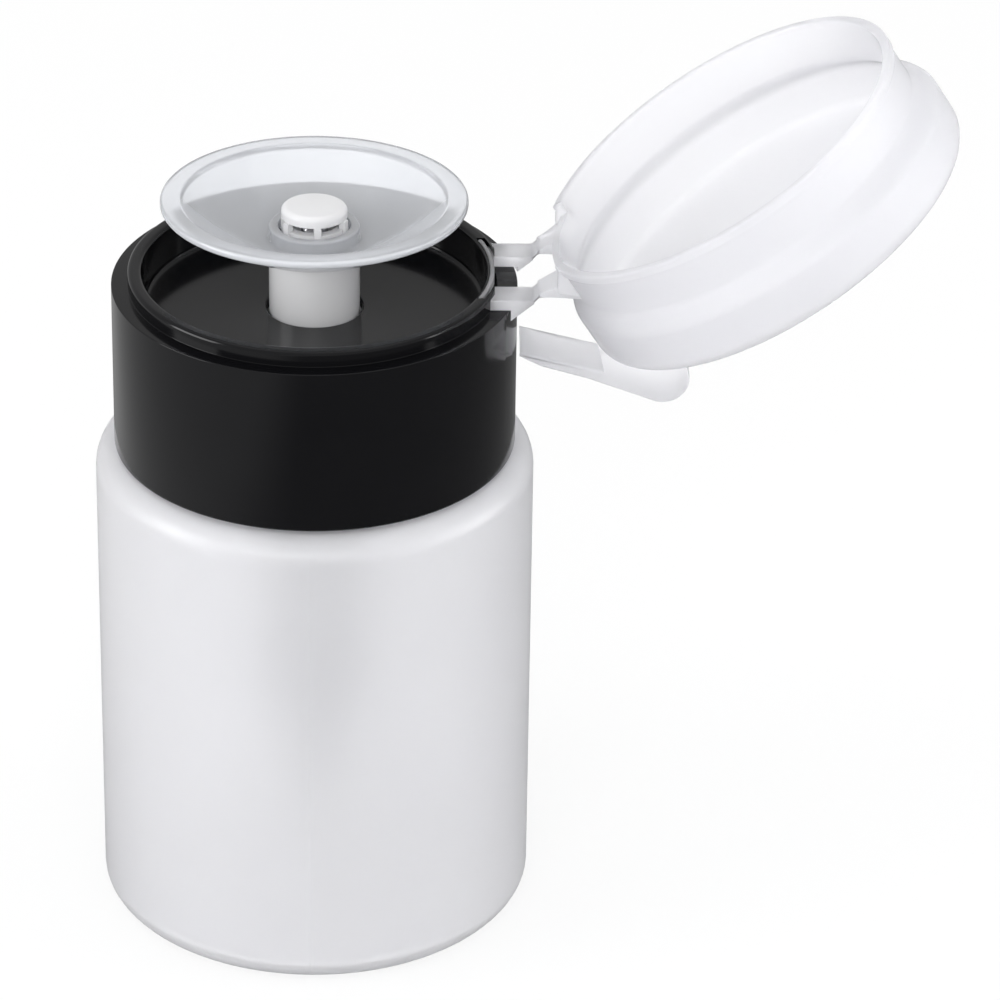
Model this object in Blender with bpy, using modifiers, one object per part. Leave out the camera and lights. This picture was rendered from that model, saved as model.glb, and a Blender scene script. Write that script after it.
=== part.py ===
"""Press-down pump bottle for nail polish remover, built as separate pieces.

Metres, +Z up. The origin is the centre of the bottle's flat base, and the lid's hinge lies
towards +X. The lid stands open, as in use, on its thumb lever against the side of the collar.
"""
import math

import bmesh
import bpy
from mathutils import Matrix, Vector

# Running and seating clearances
GAP = 0.0003
LID_SEAT_GAP = 0.00015
BOWL_CLEARANCE = 0.0005
DIP_CLEARANCE = 0.0018

# Bottle
BODY_RADIUS = 0.0225
BODY_WALL = 0.0009
BASE_THICKNESS = 0.0012
BASE_FILLET = 0.0018
SHOULDER_FILLET = 0.0027
SHOULDER_HEIGHT = 0.0522
NECK_RADIUS = 0.0149
NECK_WALL = 0.0014

# Screw thread, a 33 mm neck with six threads to the inch
THREAD_PITCH = 0.004233
THREAD_DEPTH = 0.0012
THREAD_ROOT_WIDTH = 0.0015
THREAD_CREST_WIDTH = 0.0007
THREAD_SINK = 0.0004
THREAD_MARGIN = 0.0006

# Collar: skirt, upstanding ring, sunken dish and threaded sleeve
COLLAR_RADIUS = 0.02055
COLLAR_HEIGHT = 0.01765
COLLAR_WALL = 0.0012
COLLAR_EDGE = 0.0002
COLLAR_SHELF = 0.00165
RING_WIDTH = 0.0015
RING_HEIGHT = 0.0016
RING_EDGE = 0.0005
DISH_DEPTH = 0.00275
DISH_THICKNESS = 0.0011
DISH_COVE = 0.0016
SLEEVE_WALL = 0.0013

# Pump, from the top down
GASKET_THICKNESS = 0.0010
FLANGE_THICKNESS = 0.0010
FLANGE_INSET = 0.0007
HUB_RADIUS = 0.0046
HUB_WALL = 0.00095
GUIDE_WALL = 0.00145
GUIDE_FLANGE_WIDTH = 0.0014
GUIDE_FLANGE_THICKNESS = 0.0007
GUIDE_LENGTH = 0.0137
GUIDE_FLOOR = 0.0012
HEAD_WALL = 0.0013
HOUSING_WALL = 0.0010
BARREL_BORE = 0.0046
BARREL_WALL = 0.0009
STROKE = 0.0060
PISTON_LENGTH = 0.0055
STEM_NECK_RADIUS = 0.0026
STEM_BORE = 0.0016
STEM_CLEARANCE = 0.00055
STEM_FOOT = 0.0015
STEM_FOOT_RADIUS = 0.0036
SPRING_LENGTH = 0.0160
SPRING_WIRE = 0.0008
SPRING_RADIUS = 0.0036
SPRING_TURNS = 7
SPRING_END_PITCH = 0.0019
PISTON_WAIST_TAPER = 0.4
CAGE_THICKNESS = 0.0012
CAGE_RIM_HEIGHT = 0.0024
CAGE_RIM_WALL = 0.0005
CAGE_HOLE = 0.0013
BALL_RADIUS = 0.0022
BALL_LIFT = 0.0008
BALL_CHAMBER = 0.0030
INLET_BORE = 0.0014
INLET_LENGTH = 0.0010
SOCKET_LENGTH = 0.0060
SOCKET_WALL = 0.0009
TUBE_RADIUS = 0.0020
TUBE_WALL = 0.0007

# Saucer, nozzle cap and outlet valve
SAUCER_MARGIN = 0.0019
SAUCER_RIM_WIDTH = 0.0020
SAUCER_THICKNESS = 0.0008
BOWL_DEPTH = 0.0046
BOWL_POWER = 1.8
HUB_RISE = 0.00165
CAP_DROP = 0.00085
CAP_THICKNESS = 0.0005
CAP_WALL = 0.0009
CAP_EDGE = 0.0003
CAP_SLOTS = 6
CAP_SLOT_HEIGHT = 0.0010
CAP_RIB_ANGLE = math.radians(20)
CAP_RIB_TURN = math.radians(3)
OUTLET_BALL_RADIUS = 0.0015
OUTLET_POCKET = 0.0021
OUTLET_BORE = 0.0009

# Lid and hinge
LID_WALL = 0.0008
LID_RING_CLEARANCE = 0.0003
LID_NECK_HEIGHT = 0.0046
LID_FLARE_HEIGHT = 0.0028
LID_FLARE = 0.0014
LID_BELLY_SHIFT = 0.0004
LID_CORNER = 0.0018
LID_HEIGHT = 0.0156
LID_DOME_RADIUS = 0.0625
LID_BEAD = 0.0002
LID_BEAD_HEIGHT = 0.0008
LID_OPEN_ANGLE = math.radians(147)
HINGE_OUTSET = 0.00175
HINGE_RISE = 0.00195
HINGE_BLOCK_DROP = 0.00075
HINGE_BLOCK_INSET = 0.00015
HINGE_BLOCK_SPACING = 0.00975
HINGE_BLOCK_WIDTH = 0.0032
HINGE_BLOCK_THICKNESS = 0.0004
HINGE_WALL_INSET = 0.0007
HINGE_WALL = 0.0012
HINGE_FOOT_DROP = 0.00235
NOTCH_SINK = 0.0002
ARM_LIFT = 0.00015
ARM_THICKNESS = 0.00045
ARM_RISE = 0.0019

# Thumb lever, measured from the hinge and then from its own tip with the lid open
LEVER_WIDTH = 0.0062
LEVER_DROP = 0.0084
LEVER_TIP_THICKNESS = 0.0005
LEVER_TOP_REACH, LEVER_TOP_FALL = 0.0086, 0.0021
LEVER_TOE_REACH, LEVER_TOE_FALL = 0.0022, 0.0011
LEVER_SHANK_REACH, LEVER_SHANK_FALL = 0.0071, 0.0025
LUG_REACH, LUG_FALL, LUG_RADIUS = 0.0146, 0.0024, 0.0027
LUG_START = -107
LEVER_ROOT_RADIUS = 0.0125
LEVER_ROOT_HEIGHT = 0.0095

# Roundness
COARSE_STEPS = 20
RING_STEPS = 32
SHELL_STEPS = 40
SPRING_STEPS = 10
MERGE = 0.00001

# Levels, from the bottle's shoulder up and then down the pump
COLLAR_BOTTOM = SHOULDER_HEIGHT + GAP
COLLAR_TOP = COLLAR_BOTTOM + COLLAR_HEIGHT
DISH_TOP = COLLAR_TOP - DISH_DEPTH
DISH_UNDERSIDE = DISH_TOP - DISH_THICKNESS
FLANGE_TOP = DISH_UNDERSIDE - GAP
FLANGE_BOTTOM = FLANGE_TOP - FLANGE_THICKNESS
GASKET_TOP = FLANGE_BOTTOM - GAP
GASKET_BOTTOM = GASKET_TOP - GASKET_THICKNESS
NECK_TOP = GASKET_BOTTOM - GAP
GUIDE_BOTTOM = FLANGE_TOP - GUIDE_LENGTH
PISTON_TOP = GUIDE_BOTTOM - GAP
PISTON_BOTTOM = PISTON_TOP - PISTON_LENGTH
FOOT_TOP = PISTON_BOTTOM - GAP
FOOT_BOTTOM = FOOT_TOP - STEM_FOOT
SPRING_TOP = FOOT_BOTTOM - GAP
SPRING_BOTTOM = SPRING_TOP - SPRING_LENGTH
CAGE_TOP = SPRING_BOTTOM - GAP
CAGE_BOTTOM = CAGE_TOP - CAGE_THICKNESS
BARREL_FLOOR = CAGE_BOTTOM - GAP
BALL_Z = CAGE_BOTTOM - GAP - BALL_RADIUS - BALL_LIFT
SAUCER_UNDERSIDE = DISH_TOP + STROKE + BOWL_CLEARANCE
BOWL_FLOOR = SAUCER_UNDERSIDE + SAUCER_THICKNESS
SAUCER_TOP = BOWL_FLOOR + BOWL_DEPTH
HUB_TOP = BOWL_FLOOR + HUB_RISE
HUB_BOTTOM = GUIDE_BOTTOM + GUIDE_FLOOR + STROKE + 2 * BOWL_CLEARANCE
CAP_TOP = SAUCER_TOP - CAP_DROP
CAP_UNDERSIDE = CAP_TOP - CAP_THICKNESS
OUTLET_BALL_Z = CAP_UNDERSIDE - GAP - OUTLET_BALL_RADIUS - BALL_LIFT
STEM_TOP = OUTLET_BALL_Z
HINGE_Z = COLLAR_TOP + HINGE_RISE
RIM_Z = COLLAR_TOP + LID_SEAT_GAP

# Radii that follow from a neighbour
NECK_BORE = NECK_RADIUS - NECK_WALL
SLEEVE_BORE = NECK_RADIUS + THREAD_DEPTH + THREAD_SINK
RING_RADIUS = COLLAR_RADIUS - COLLAR_SHELF
RING_BORE = RING_RADIUS - RING_WIDTH
SAUCER_RADIUS = RING_BORE - SAUCER_MARGIN
GUIDE_BORE = HUB_RADIUS + GAP
GUIDE_RADIUS = GUIDE_BORE + GUIDE_WALL
GUIDE_FLANGE_RADIUS = GUIDE_RADIUS + GUIDE_FLANGE_WIDTH
HOUSING_BORE = GUIDE_RADIUS + GAP
HOUSING_RADIUS = HOUSING_BORE + HOUSING_WALL
HEAD_BORE = GUIDE_FLANGE_RADIUS + GAP
HEAD_RADIUS = HEAD_BORE + HEAD_WALL
BARREL_RADIUS = BARREL_BORE + BARREL_WALL
SOCKET_BORE = TUBE_RADIUS + GAP
SOCKET_RADIUS = SOCKET_BORE + SOCKET_WALL
HUB_BORE = HUB_RADIUS - HUB_WALL
STEM_RADIUS = HUB_BORE - STEM_CLEARANCE
CAP_RADIUS = HUB_BORE - GAP
LID_NECK_RADIUS = RING_RADIUS + LID_RING_CLEARANCE + LID_WALL
LID_BELLY_RADIUS = LID_NECK_RADIUS + LID_FLARE
HINGE_X = COLLAR_RADIUS + HINGE_OUTSET
HINGE_WALL_RADIUS = RING_RADIUS - HINGE_WALL_INSET
HINGE_HALF_WIDTH = (HINGE_BLOCK_SPACING + HINGE_BLOCK_WIDTH) / 2
NOTCH_HALF_WIDTH = HINGE_HALF_WIDTH + GAP
BLOCK_TOP = HINGE_Z - HINGE_BLOCK_DROP


def clear_scene():
    """Remove what a new Blender file holds."""
    for found in list(bpy.data.objects):
        bpy.data.objects.remove(found)


def new_collection(name):
    made = bpy.data.collections.new(name)
    bpy.context.scene.collection.children.link(made)
    return made


def plastic(name, colour, roughness, metallic=0.0, transmission=0.0):
    """A Principled material; colour is linear red, green and blue."""
    material = bpy.data.materials.new(name)
    material.use_nodes = True
    shader = material.node_tree.nodes["Principled BSDF"]
    shader.inputs["Base Color"].default_value = (*colour, 1.0)
    shader.inputs["Roughness"].default_value = roughness
    shader.inputs["Metallic"].default_value = metallic
    shader.inputs["Transmission Weight"].default_value = transmission
    material.diffuse_color = (*colour, 1.0)
    return material


def arc(centre_r, centre_z, radius, start, end, count):
    """Points of an arc in the profile plane, from one angle in degrees to another."""
    angles = [math.radians(start + (end - start) * i / (count - 1)) for i in range(count)]
    return [(centre_r + radius * math.cos(a), centre_z + radius * math.sin(a)) for a in angles]


def link(name, mesh, collection):
    made = bpy.data.objects.new(name, mesh)
    collection.objects.link(made)
    return made


def bake(thing):
    """Turn an object's evaluated shape, with its modifiers, into its own mesh."""
    graph = bpy.context.evaluated_depsgraph_get()
    graph.update()
    mesh = bpy.data.meshes.new_from_object(thing.evaluated_get(graph))
    thing.modifiers.clear()
    thing.data = mesh
    return thing


def turned(name, profile, steps, collection, loop=True):
    """Revolve a profile about Z. It runs down its outer side; a loop closes on itself."""
    mesh = bpy.data.meshes.new(name)
    count = len(profile)
    edges = [(i, i + 1) for i in range(count - 1)]
    if loop:
        edges.append((count - 1, 0))
    mesh.from_pydata([(r, 0, z) for r, z in profile], edges, [])
    made = link(name, mesh, collection)
    screw = made.modifiers.new("turn", "SCREW")
    screw.steps = screw.render_steps = steps
    screw.use_merge_vertices = True
    screw.merge_threshold = MERGE
    return bake(made)


def slab(name, outline, y_centre, width, collection):
    """A flat outline in the XZ plane, given its width along Y."""
    curve = bpy.data.curves.new(name, "CURVE")
    curve.dimensions = "2D"
    curve.fill_mode = "BOTH"
    curve.extrude = width / 2
    spline = curve.splines.new("POLY")
    spline.points.add(len(outline) - 1)
    for point, (x, z) in zip(spline.points, outline):
        point.co = (x, z, 0, 1)
    spline.use_cyclic_u = True
    made = bake_curve(name, curve, collection)
    made.data.transform(Matrix.Translation((0, y_centre, 0)) @ Matrix.Rotation(math.pi / 2, 4, "X"))
    return made


def bake_curve(name, curve, collection):
    """Turn a curve into a closed mesh with its caps welded on."""
    source = link(name, curve, collection)
    graph = bpy.context.evaluated_depsgraph_get()
    graph.update()
    mesh = bpy.data.meshes.new_from_object(source.evaluated_get(graph))
    bpy.data.objects.remove(source)
    shape = bmesh.new()
    shape.from_mesh(mesh)
    bmesh.ops.remove_doubles(shape, verts=shape.verts, dist=MERGE)
    bmesh.ops.recalc_face_normals(shape, faces=shape.faces)
    shape.to_mesh(mesh)
    shape.free()
    return link(name, mesh, collection)


def box(name, low, high, collection):
    """A box from its lowest corner to its highest."""
    shape = bmesh.new()
    bmesh.ops.create_cube(shape, size=1)
    low, high = Vector(low), Vector(high)
    shape.transform(Matrix.Translation((low + high) / 2) @ Matrix.Diagonal((*(high - low), 1)))
    mesh = bpy.data.meshes.new(name)
    shape.to_mesh(mesh)
    shape.free()
    return link(name, mesh, collection)


def ball(name, radius, height, collection):
    shape = bmesh.new()
    bmesh.ops.create_uvsphere(shape, u_segments=14, v_segments=8, radius=radius)
    shape.transform(Matrix.Translation((0, 0, height)))
    mesh = bpy.data.meshes.new(name)
    shape.to_mesh(mesh)
    shape.free()
    return link(name, mesh, collection)


def combine(thing, operation, other):
    """Join, cut or intersect one object with another."""
    other.hide_render = True
    other.display_type = "WIRE"
    step = thing.modifiers.new(other.name, "BOOLEAN")
    step.operation = operation
    step.solver = "EXACT"
    step.object = other
    return bake(thing)


def arc_block(name, radii, heights, half_width, collection, cutters):
    """The stretch of a ring that lies within half_width of the X axis, on the +X side."""
    (inner, outer), (bottom, top) = radii, heights
    profile = [(inner, top), (outer, top), (outer, bottom), (inner, bottom)]
    made = turned(name, profile, 2 * SHELL_STEPS, collection)
    trim = box(name + "_trim", (0, -half_width, bottom - GAP),
               (2 * outer, half_width, top + GAP), cutters)
    return combine(made, "INTERSECT", trim)


def thread(name, root, crest, low, high, collection):
    """A helical ridge about Z between two heights, from its root radius to its crest radius."""
    turns = (high - low) / THREAD_PITCH
    steps = max(round(turns * 24), 6)
    half_root, half_crest = THREAD_ROOT_WIDTH / 2, THREAD_CREST_WIDTH / 2
    section = [(root, -half_root), (crest, -half_crest), (crest, half_crest), (root, half_root)]
    shape = bmesh.new()
    face = shape.faces.new([shape.verts.new((r, 0, low + z)) for r, z in section])
    bmesh.ops.spin(shape, geom=[face], axis=(0, 0, 1), cent=(0, 0, 0), steps=steps,
                   angle=turns * math.tau, dvec=(0, 0, (high - low) / steps))
    bmesh.ops.remove_doubles(shape, verts=shape.verts, dist=MERGE)
    bmesh.ops.recalc_face_normals(shape, faces=shape.faces)
    mesh = bpy.data.meshes.new(name)
    shape.to_mesh(mesh)
    shape.free()
    return link(name, mesh, collection)


def finish(thing, material, parent=None):
    """Give a piece its material and shading, and hang it on its empty or its carrier."""
    thing.data.materials.clear()
    thing.data.materials.append(material)
    thing.data.shade_smooth()
    thing.data.set_sharp_from_angle(angle=math.radians(30))
    if parent:
        thing.parent = parent
        thing.matrix_parent_inverse = parent.matrix_world.inverted()
    return thing


def seat_line(ball_z, ball_radius):
    """Height at which a 45 degree seat, a gap below its ball, would meet the axis."""
    return ball_z - (ball_radius + GAP) * math.sqrt(2)


def thread_heights():
    """Lowest and highest centre of the collar's ridge, then of the neck's, half a pitch above."""
    collar_low = COLLAR_BOTTOM + THREAD_MARGIN + THREAD_ROOT_WIDTH / 2
    neck_low = collar_low + THREAD_PITCH / 2
    neck_high = NECK_TOP - THREAD_MARGIN - THREAD_ROOT_WIDTH
    collar_high = neck_high - THREAD_PITCH / 2
    return (collar_low, collar_high), (neck_low, neck_high)


def make_bottle(parts, cutters):
    inner_radius = BODY_RADIUS - BODY_WALL
    inner_shoulder = SHOULDER_FILLET - BODY_WALL
    inner_base = max(BASE_FILLET - BODY_WALL, BODY_WALL / 2)
    profile = [(0, BASE_THICKNESS)]
    profile += arc(inner_radius - inner_base, BASE_THICKNESS + inner_base, inner_base, -90, 0, 3)
    profile += arc(BODY_RADIUS - SHOULDER_FILLET, SHOULDER_HEIGHT - SHOULDER_FILLET,
                   inner_shoulder, 0, 90, 4)
    profile += [(NECK_BORE, SHOULDER_HEIGHT - BODY_WALL), (NECK_BORE, NECK_TOP)]
    profile += [(NECK_RADIUS, NECK_TOP), (NECK_RADIUS, SHOULDER_HEIGHT)]
    profile += arc(BODY_RADIUS - SHOULDER_FILLET, SHOULDER_HEIGHT - SHOULDER_FILLET,
                   SHOULDER_FILLET, 90, 0, 6)
    profile += arc(BODY_RADIUS - BASE_FILLET, BASE_FILLET, BASE_FILLET, 0, -90, 4)
    profile += [(0, 0)]
    made = turned("bottle", profile, SHELL_STEPS, parts, loop=False)
    low, high = thread_heights()[1]
    ridge = thread("neck_thread", NECK_RADIUS - THREAD_SINK, NECK_RADIUS + THREAD_DEPTH,
                   low, high, cutters)
    return combine(made, "UNION", ridge)


def make_collar(parts, cutters):
    profile = [(RING_BORE, COLLAR_TOP + RING_HEIGHT - RING_EDGE)]
    profile += [(RING_BORE + RING_EDGE, COLLAR_TOP + RING_HEIGHT)]
    profile += [(RING_RADIUS - RING_EDGE, COLLAR_TOP + RING_HEIGHT)]
    profile += [(RING_RADIUS, COLLAR_TOP + RING_HEIGHT - RING_EDGE), (RING_RADIUS, COLLAR_TOP)]
    profile += [(COLLAR_RADIUS - COLLAR_EDGE, COLLAR_TOP), (COLLAR_RADIUS, COLLAR_TOP - COLLAR_EDGE)]
    profile += [(COLLAR_RADIUS, COLLAR_BOTTOM), (COLLAR_RADIUS - COLLAR_WALL, COLLAR_BOTTOM)]
    profile += [(COLLAR_RADIUS - COLLAR_WALL, DISH_UNDERSIDE)]
    profile += [(SLEEVE_BORE + SLEEVE_WALL, DISH_UNDERSIDE), (SLEEVE_BORE + SLEEVE_WALL, COLLAR_BOTTOM)]
    profile += [(SLEEVE_BORE, COLLAR_BOTTOM), (SLEEVE_BORE, DISH_UNDERSIDE)]
    profile += [(GUIDE_BORE, DISH_UNDERSIDE), (GUIDE_BORE, DISH_TOP)]
    profile += arc(RING_BORE - DISH_COVE, DISH_TOP + DISH_COVE, DISH_COVE, -90, 0, 4)
    made = turned("collar", profile, SHELL_STEPS, parts)

    low, high = thread_heights()[0]
    ridge = thread("sleeve_thread", SLEEVE_BORE + THREAD_SINK, NECK_RADIUS + THREAD_SINK,
                   low, high, cutters)
    combine(made, "UNION", ridge)

    above = COLLAR_TOP + 2 * RING_HEIGHT
    split = HINGE_WALL_RADIUS + GAP
    wall_room = arc_block("notch_wall", (HINGE_WALL_RADIUS - HINGE_WALL - GAP, split),
                          (DISH_TOP + NOTCH_SINK, above), NOTCH_HALF_WIDTH, cutters, cutters)
    combine(made, "DIFFERENCE", wall_room)
    block_room = arc_block("notch_blocks", (split - GAP, COLLAR_RADIUS + GAP),
                           (COLLAR_TOP - NOTCH_SINK, above), NOTCH_HALF_WIDTH, cutters, cutters)
    return combine(made, "DIFFERENCE", block_room)


def make_hinge_base(parts, cutters):
    made = arc_block("hinge_base", (HINGE_WALL_RADIUS - HINGE_WALL, HINGE_WALL_RADIUS),
                     (DISH_TOP + NOTCH_SINK + GAP, BLOCK_TOP), HINGE_HALF_WIDTH, parts, cutters)
    root_x = HINGE_WALL_RADIUS - HINGE_WALL / 2
    end_x = HINGE_X - HINGE_BLOCK_INSET
    foot_x = math.sqrt((COLLAR_RADIUS + GAP) ** 2 - HINGE_HALF_WIDTH ** 2)
    foot_z = BLOCK_TOP - HINGE_FOOT_DROP
    outline = [(root_x, BLOCK_TOP), (root_x, foot_z), (foot_x, foot_z),
               (end_x, BLOCK_TOP - HINGE_BLOCK_THICKNESS), (end_x, BLOCK_TOP)]
    room_top, room_radius = COLLAR_TOP - NOTCH_SINK + GAP, COLLAR_RADIUS + GAP
    room = [(0, room_top), (room_radius, room_top), (room_radius, COLLAR_BOTTOM), (0, COLLAR_BOTTOM)]
    drum = turned("collar_room", room, 2 * SHELL_STEPS, cutters, loop=False)
    for side in (-1, 1):
        name = "hinge_block_far" if side > 0 else "hinge_block_near"
        block = slab(name, outline, side * HINGE_BLOCK_SPACING / 2, HINGE_BLOCK_WIDTH, cutters)
        combine(block, "DIFFERENCE", drum)
        combine(made, "UNION", block)
    return made


def make_gasket(parts):
    profile = [(NECK_BORE, GASKET_TOP), (NECK_RADIUS, GASKET_TOP),
               (NECK_RADIUS, GASKET_BOTTOM), (NECK_BORE, GASKET_BOTTOM)]
    return turned("neck_gasket", profile, RING_STEPS, parts)


def make_pump_cylinder(parts):
    head_floor = FLANGE_TOP - GUIDE_FLANGE_THICKNESS - GAP
    head_bottom = head_floor - HEAD_WALL
    housing_floor = GUIDE_BOTTOM - GAP
    seat = seat_line(BALL_Z, BALL_RADIUS)
    socket_top = seat + INLET_BORE - INLET_LENGTH
    socket_bottom = socket_top - SOCKET_LENGTH
    cone_top = socket_top + (BARREL_RADIUS - SOCKET_RADIUS)
    flange_radius = NECK_RADIUS - FLANGE_INSET
    profile = [(HEAD_BORE, FLANGE_TOP), (flange_radius, FLANGE_TOP), (flange_radius, FLANGE_BOTTOM)]
    profile += [(HEAD_RADIUS, FLANGE_BOTTOM), (HEAD_RADIUS, head_bottom)]
    profile += [(HOUSING_RADIUS, head_bottom), (HOUSING_RADIUS, housing_floor - HOUSING_WALL)]
    profile += [(BARREL_RADIUS, housing_floor - HOUSING_WALL), (BARREL_RADIUS, cone_top)]
    profile += [(SOCKET_RADIUS, socket_top), (SOCKET_RADIUS, socket_bottom)]
    profile += [(SOCKET_BORE, socket_bottom), (SOCKET_BORE, socket_top)]
    profile += [(INLET_BORE, socket_top), (INLET_BORE, seat + INLET_BORE)]
    profile += [(BALL_CHAMBER, seat + BALL_CHAMBER), (BALL_CHAMBER, BARREL_FLOOR)]
    profile += [(BARREL_BORE, BARREL_FLOOR), (BARREL_BORE, housing_floor)]
    profile += [(HOUSING_BORE, housing_floor), (HOUSING_BORE, head_floor), (HEAD_BORE, head_floor)]
    return turned("pump_cylinder", profile, COARSE_STEPS, parts)


def make_stem_guide(parts):
    flange_bottom = FLANGE_TOP - GUIDE_FLANGE_THICKNESS
    floor = GUIDE_BOTTOM + GUIDE_FLOOR
    lip = STEM_RADIUS + GAP
    profile = [(GUIDE_BORE, FLANGE_TOP), (GUIDE_FLANGE_RADIUS, FLANGE_TOP)]
    profile += [(GUIDE_FLANGE_RADIUS, flange_bottom), (GUIDE_RADIUS, flange_bottom)]
    profile += [(GUIDE_RADIUS, GUIDE_BOTTOM), (lip, GUIDE_BOTTOM), (lip, floor), (GUIDE_BORE, floor)]
    return turned("stem_guide", profile, COARSE_STEPS, parts)


def make_valve_cage(parts):
    flange_radius = BARREL_BORE - GAP
    rim_radius = SPRING_RADIUS - SPRING_WIRE / 2 - GAP
    rim_top = CAGE_TOP + CAGE_RIM_HEIGHT
    profile = [(rim_radius - CAGE_RIM_WALL, rim_top), (rim_radius, rim_top), (rim_radius, CAGE_TOP)]
    profile += [(flange_radius, CAGE_TOP), (flange_radius, CAGE_BOTTOM), (CAGE_HOLE, CAGE_BOTTOM)]
    profile += [(CAGE_HOLE, CAGE_TOP), (rim_radius - CAGE_RIM_WALL, CAGE_TOP)]
    return turned("valve_cage", profile, COARSE_STEPS, parts)


def make_dip_tube(parts):
    top = seat_line(BALL_Z, BALL_RADIUS) + INLET_BORE - INLET_LENGTH - GAP
    bottom = BASE_THICKNESS + DIP_CLEARANCE
    bore = TUBE_RADIUS - TUBE_WALL
    profile = [(bore, top), (TUBE_RADIUS, top), (TUBE_RADIUS, bottom), (bore, bottom)]
    return turned("dip_tube", profile, COARSE_STEPS, parts)


def make_spring(parts):
    """Compression spring: one helix whose end turns lie closer together than the rest."""
    low, high = SPRING_BOTTOM + SPRING_WIRE / 2, SPRING_TOP - SPRING_WIRE / 2
    pitch = (high - low - 2 * SPRING_END_PITCH) / (SPRING_TURNS - 2)
    points = []
    for i in range(SPRING_TURNS * SPRING_STEPS + 1):
        turn = i / SPRING_STEPS
        angle = math.tau * turn
        if turn < 1:
            z = low + SPRING_END_PITCH * turn
        elif turn > SPRING_TURNS - 1:
            z = high - SPRING_END_PITCH * (SPRING_TURNS - turn)
        else:
            z = low + SPRING_END_PITCH + pitch * (turn - 1)
        points.append(Vector((SPRING_RADIUS * math.cos(angle), SPRING_RADIUS * math.sin(angle), z)))
    nearest = min((a - b).length for i, a in enumerate(points)
                  for b in points[i + SPRING_STEPS // 2:])
    print("spring: least gap between turns %.2f mm" % ((nearest - SPRING_WIRE) * 1000))

    curve = bpy.data.curves.new("pump_spring", "CURVE")
    curve.dimensions = "3D"
    curve.bevel_depth = SPRING_WIRE / 2
    curve.bevel_resolution = 1
    curve.use_fill_caps = True
    spline = curve.splines.new("POLY")
    spline.points.add(len(points) - 1)
    for point, place in zip(spline.points, points):
        point.co = (*place, 1)
    return bake_curve("pump_spring", curve, parts)


def make_saucer(parts):
    """Bowl on a hub tube. The bowl's floor climbs ever more steeply from the hub to the rim."""
    inner_rim = SAUCER_RADIUS - SAUCER_RIM_WIDTH
    run = inner_rim - HUB_RADIUS
    shares = [i / 6 for i in range(7)]
    upper = [(HUB_RADIUS + run * s, BOWL_FLOOR + BOWL_DEPTH * s ** BOWL_POWER) for s in shares]
    lower = [(r, z - SAUCER_THICKNESS) for r, z in upper]
    edge = SAUCER_THICKNESS / 3
    profile = [(HUB_BORE, HUB_TOP), (HUB_RADIUS, HUB_TOP)] + upper
    profile += [(SAUCER_RADIUS - edge, SAUCER_TOP), (SAUCER_RADIUS, SAUCER_TOP - edge)]
    profile += [(SAUCER_RADIUS, SAUCER_TOP - 2 * edge)]
    profile += [(SAUCER_RADIUS - edge, SAUCER_TOP - SAUCER_THICKNESS)]
    profile += lower[::-1]
    profile += [(HUB_RADIUS, HUB_BOTTOM), (HUB_BORE, HUB_BOTTOM)]
    return turned("saucer", profile, SHELL_STEPS, parts)


def make_stem(parts):
    seat = seat_line(OUTLET_BALL_Z, OUTLET_BALL_RADIUS)
    shoulder = PISTON_TOP + GAP
    profile = [(OUTLET_POCKET, STEM_TOP), (STEM_RADIUS, STEM_TOP), (STEM_RADIUS, shoulder)]
    profile += [(STEM_NECK_RADIUS, shoulder), (STEM_NECK_RADIUS, FOOT_TOP)]
    profile += [(STEM_FOOT_RADIUS, FOOT_TOP), (STEM_FOOT_RADIUS, FOOT_BOTTOM)]
    profile += [(STEM_BORE, FOOT_BOTTOM)]
    profile += [(STEM_BORE, seat - STEM_BORE), (OUTLET_BORE, seat - OUTLET_BORE)]
    profile += [(OUTLET_BORE, seat + OUTLET_BORE), (OUTLET_POCKET, seat + OUTLET_POCKET)]
    return turned("stem", profile, COARSE_STEPS, parts)


def make_piston(parts):
    outer = BARREL_BORE - GAP
    bore = STEM_NECK_RADIUS + GAP
    waist = (outer + bore) / 2
    lip = PISTON_LENGTH / 4
    taper = lip * (1 + PISTON_WAIST_TAPER)
    profile = [(bore, PISTON_TOP), (outer, PISTON_TOP), (outer, PISTON_TOP - lip)]
    profile += [(waist, PISTON_TOP - taper), (waist, PISTON_BOTTOM + taper)]
    profile += [(outer, PISTON_BOTTOM + lip), (outer, PISTON_BOTTOM), (bore, PISTON_BOTTOM)]
    return turned("piston_seal", profile, COARSE_STEPS, parts)


def make_nozzle_cap(parts, cutters):
    bore = CAP_RADIUS - CAP_WALL
    bottom = STEM_TOP + GAP
    profile = [(0, CAP_TOP), (CAP_RADIUS - CAP_EDGE, CAP_TOP), (CAP_RADIUS, CAP_TOP - CAP_EDGE)]
    profile += [(CAP_RADIUS, bottom), (bore, bottom), (bore, CAP_UNDERSIDE), (0, CAP_UNDERSIDE)]
    made = turned("nozzle_cap", profile, RING_STEPS, parts, loop=False)
    slot_angle = math.tau / CAP_SLOTS - CAP_RIB_ANGLE
    half = CAP_RADIUS * math.tan(slot_angle / 2)
    for i in range(CAP_SLOTS):
        middle = CAP_RIB_TURN - math.pi / 2 + (i + 0.5) * math.tau / CAP_SLOTS
        slot = box("cap_slot_%d" % i, (bore - CAP_WALL / 2, -half, CAP_UNDERSIDE - CAP_SLOT_HEIGHT),
                   (CAP_RADIUS + CAP_WALL, half, CAP_UNDERSIDE), cutters)
        slot.data.transform(Matrix.Rotation(middle, 4, "Z"))
        combine(made, "DIFFERENCE", slot)
    return made


def lid_swell(height):
    """Share of the flare between neck and belly that the lid has reached at a height."""
    share = (height - RIM_Z - LID_NECK_HEIGHT) / LID_FLARE_HEIGHT
    return (1 - math.cos(math.pi * min(max(share, 0), 1))) / 2


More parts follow.
